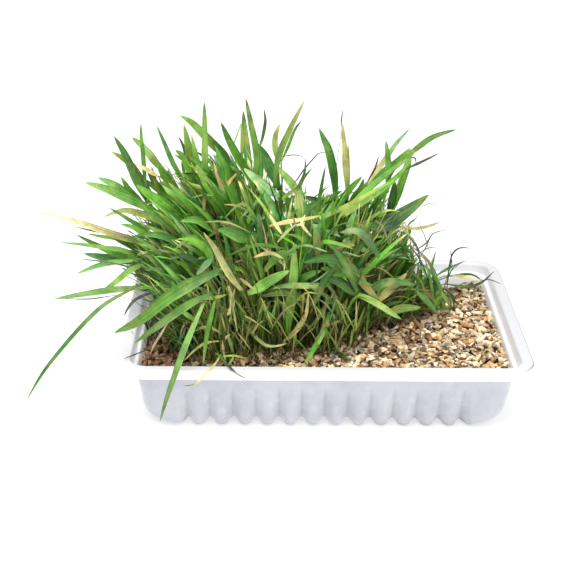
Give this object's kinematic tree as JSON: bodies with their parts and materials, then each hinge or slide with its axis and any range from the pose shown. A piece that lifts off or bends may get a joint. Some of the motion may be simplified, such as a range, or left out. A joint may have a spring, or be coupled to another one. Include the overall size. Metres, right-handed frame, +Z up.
{
  "type": "tray of cat grass",
  "caption": "Shallow white fluted plastic tray with a flat rim, filled with pale chips, with a dense clump of young cereal grass leaning out over one end.",
  "frame": {"origin": "middle of the tray's flat underside", "axes": "+Z up from the base, X along the tray's length with the clump leaning to -X, Y across the tray with the bare medium at the -Y side"},
  "size_m": [0.2315, 0.17, 0.142],
  "materials": {
    "tray_plastic": "white formed sheet with a soft gloss",
    "medium_chips": "loose rough chips in cream, tan and brown",
    "seed_husk": "brown grain husk, dull",
    "leaf_green": "satin mid-green leaf with fine veins along it",
    "leaf_light": "satin yellow-green leaf with fine veins along it",
    "leaf_straw": "dry straw-coloured leaf, matte",
    "leaf_dark": "dark limp leaf, matte"
  },
  "bodies": {
    "root": {"fallen_leaf": "leaf_dark", "grass_tuft_01": "leaf_green", "grass_tuft_02": "leaf_green", "grass_tuft_03": "leaf_green", "grass_tuft_04": "leaf_green", "grass_tuft_05": "leaf_green", "grass_tuft_06": "leaf_green", "grass_tuft_07": "leaf_green", "grass_tuft_08": "leaf_green", "grass_tuft_09": "leaf_green", "grass_tuft_10": "leaf_green", "grass_tuft_11": "leaf_green", "grass_tuft_12": "leaf_green", "grass_tuft_13": "leaf_green", "grass_tuft_14": "leaf_green", "grass_tuft_15": "leaf_green", "grass_tuft_16": "leaf_green", "grass_tuft_17": "leaf_green", "grass_tuft_18": "leaf_green", "grass_tuft_19": "leaf_green", "grass_tuft_20": "leaf_green", "grass_tuft_21": "leaf_green", "grass_tuft_22": "leaf_green", "grass_tuft_23": "leaf_green", "grass_tuft_24": "leaf_green", "grass_tuft_25": "leaf_green", "grass_tuft_26": "leaf_green", "grass_tuft_27": "leaf_green", "grass_tuft_28": "leaf_green", "grass_tuft_29": "leaf_green", "grass_tuft_30": "leaf_green", "grass_tuft_31": "leaf_green", "grass_tuft_32": "leaf_green", "grass_tuft_33": "leaf_green", "grass_tuft_34": "leaf_green", "growing_medium": "medium_chips", "leaf_arching_right": "leaf_green", "leaf_broad_left": "leaf_green", "leaf_far_back": "leaf_green", "leaf_far_left": "leaf_green", "leaf_low_left": "leaf_green", "leaf_over_front_rim": "leaf_green", "leaf_pale_left": "leaf_light", "leaf_right_back": "leaf_dark", "leaf_straw_left": "leaf_straw", "leaf_top_left": "leaf_green", "leaf_top_middle": "leaf_green", "leaf_top_right": "leaf_light", "seed_kernel_1": "seed_husk", "seed_kernel_2": "seed_husk", "seed_kernel_3": "seed_husk", "seed_kernel_4": "seed_husk", "tray": "tray_plastic"}
  },
  "joints": []
}
